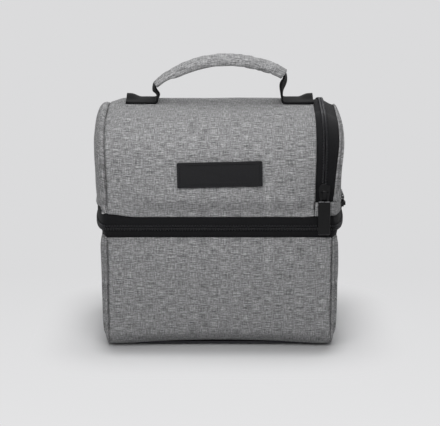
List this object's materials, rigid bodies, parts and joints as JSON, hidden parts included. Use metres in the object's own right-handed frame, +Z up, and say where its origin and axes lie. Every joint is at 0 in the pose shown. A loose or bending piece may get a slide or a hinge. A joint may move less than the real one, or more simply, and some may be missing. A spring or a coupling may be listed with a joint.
{
  "type": "cooler bag",
  "caption": "Soft insulated cooler bag with a lower tub, a domed upper box that zips on and tips back, a zipped end flap and a padded top handle.",
  "frame": {"origin": "middle of the base, on the surface the bag stands on", "axes": "+Z up, -Y is the front with the patch, +X is the end with the zipped flap"},
  "size_m": [0.2694, 0.1752, 0.2977],
  "materials": {
    "grey_cloth": "melange polyester, plain weave",
    "white_foam": "expanded polyethylene foam",
    "silver_lining": "silver PEVA sheet",
    "base_board": "polyethylene board",
    "black_webbing": "woven polyester webbing",
    "zip_tape": "woven tape",
    "zip_coil": "nylon coil",
    "zip_metal": "black lacquered zinc",
    "patch_rubber": "moulded soft rubber"
  },
  "bodies": {
    "lower": {"lower_wrap_panel": "grey_cloth", "lower_left_end_panel": "grey_cloth", "lower_right_end_panel": "grey_cloth", "lower_wrap_foam": "white_foam", "lower_left_end_foam": "white_foam", "lower_right_end_foam": "white_foam", "lower_liner": "silver_lining", "base_board": "base_board", "lower_rim_binding": "black_webbing", "waist_zip_lower_tape": "zip_tape", "waist_zip_lower_coil": "zip_coil", "waist_zip_left_stop": "zip_coil", "waist_zip_right_stop": "zip_coil", "back_hinge_lower": "grey_cloth"},
    "upper": {"upper_wrap_panel": "grey_cloth", "upper_left_end_panel": "grey_cloth", "right_sill_panel": "grey_cloth", "upper_wrap_foam": "white_foam", "upper_left_end_foam": "white_foam", "right_sill_foam": "white_foam", "upper_liner": "silver_lining", "divider_foam": "white_foam", "divider_lining": "silver_lining", "waist_zip_upper_tape": "zip_tape", "waist_zip_upper_coil": "zip_coil", "back_hinge_upper": "grey_cloth", "side_zip_fixed_tape": "zip_tape", "side_zip_fixed_coil": "zip_coil", "side_zip_front_stop": "zip_coil", "side_zip_back_stop": "zip_coil", "label_patch": "patch_rubber", "handle_anchor_left": "black_webbing", "handle_anchor_right": "black_webbing"},
    "flap": {"flap_panel": "grey_cloth", "flap_foam": "white_foam", "flap_liner": "silver_lining", "side_zip_flap_tape": "zip_tape", "side_zip_flap_coil": "zip_coil"},
    "handle": {"handle_riser_left": "black_webbing", "handle_riser_right": "black_webbing", "handle_grip_sleeve": "grey_cloth", "handle_grip_foam": "white_foam", "handle_strap": "black_webbing"},
    "side_slider": {"side_zip_slider": "zip_metal"},
    "side_puller": {"side_zip_puller": "zip_metal"},
    "waist_slider": {"waist_zip_slider": "zip_metal"},
    "waist_puller": {"waist_zip_puller": "zip_metal"}
  },
  "joints": [
    {"name": "upper_tip_back", "type": "hinge", "parent": "lower", "child": "upper", "pos_m": [0, 0.0845, 0.1305], "axis": [-1, 0, 0], "range_deg": [0, 110]},
    {"name": "flap_open", "type": "hinge", "parent": "upper", "child": "flap", "pos_m": [0.1322, 0, 0.15685], "axis": [0, 1, 0], "range_deg": [0, 110]},
    {"name": "handle_lean", "type": "hinge", "parent": "upper", "child": "handle", "pos_m": [0, 0, 0.2492], "axis": [1, 0, 0], "range_deg": [-45, 45], "deforming": ["handle_riser_left", "handle_riser_right"]},
    {"name": "side_slider_run", "type": "slide", "parent": "upper", "child": "side_slider", "axis": [0, 0, 1], "range_m": [0, 0.019]},
    {"name": "side_puller_lift", "type": "hinge", "parent": "side_slider", "child": "side_puller", "pos_m": [0.1059, -0.088, 0.167], "axis": [-1, 0, 0], "range_deg": [0, 150]},
    {"name": "waist_slider_run", "type": "slide", "parent": "lower", "child": "waist_slider", "axis": [0, -1, 0], "range_m": [0, 0.06]},
    {"name": "waist_puller_lift", "type": "hinge", "parent": "waist_slider", "child": "waist_puller", "pos_m": [0.1345, 0.03, 0.1305], "axis": [0, 0, -1], "range_deg": [0, 150]}
  ]
}
